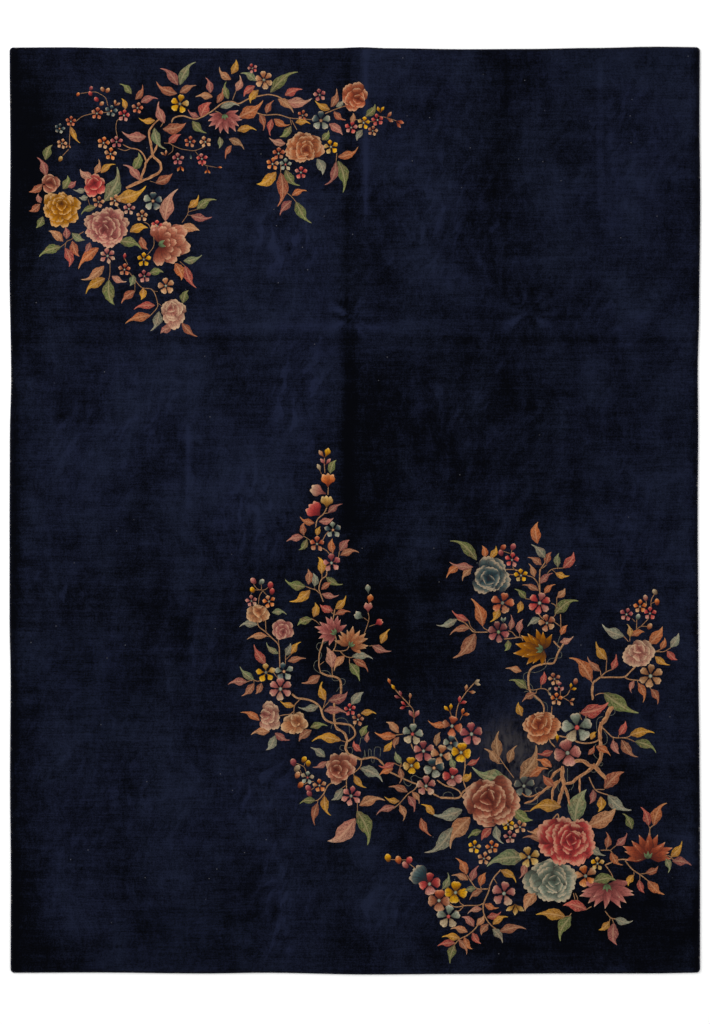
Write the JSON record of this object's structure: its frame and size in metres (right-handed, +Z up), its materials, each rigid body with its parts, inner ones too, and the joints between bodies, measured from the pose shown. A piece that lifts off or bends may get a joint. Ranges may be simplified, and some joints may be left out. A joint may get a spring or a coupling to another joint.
{
  "type": "chinese art deco rug",
  "caption": "Room-size flat wool pile rug: very dark navy ground with flowering branch sprays in two opposite corners, wound side selvedges and overcast ends.",
  "frame": {"origin": "middle of the rug's underside, on the floor that it lies on", "axes": "+X across the rug to its right side, +Y along it to its far end, +Z up out of the pile"},
  "size_m": [2.72, 3.652, 0.018],
  "materials": {
    "pile_wool": "clipped knotted wool pile, soft sheen along the nap",
    "edging_yarn": "tightly wound dark wool yarn, worn in places"
  },
  "bodies": {
    "root": {"pile_field": "pile_wool", "side_selvedge_left": "edging_yarn", "side_selvedge_right": "edging_yarn", "end_overcast_near": "edging_yarn", "end_overcast_far": "edging_yarn"}
  },
  "joints": []
}
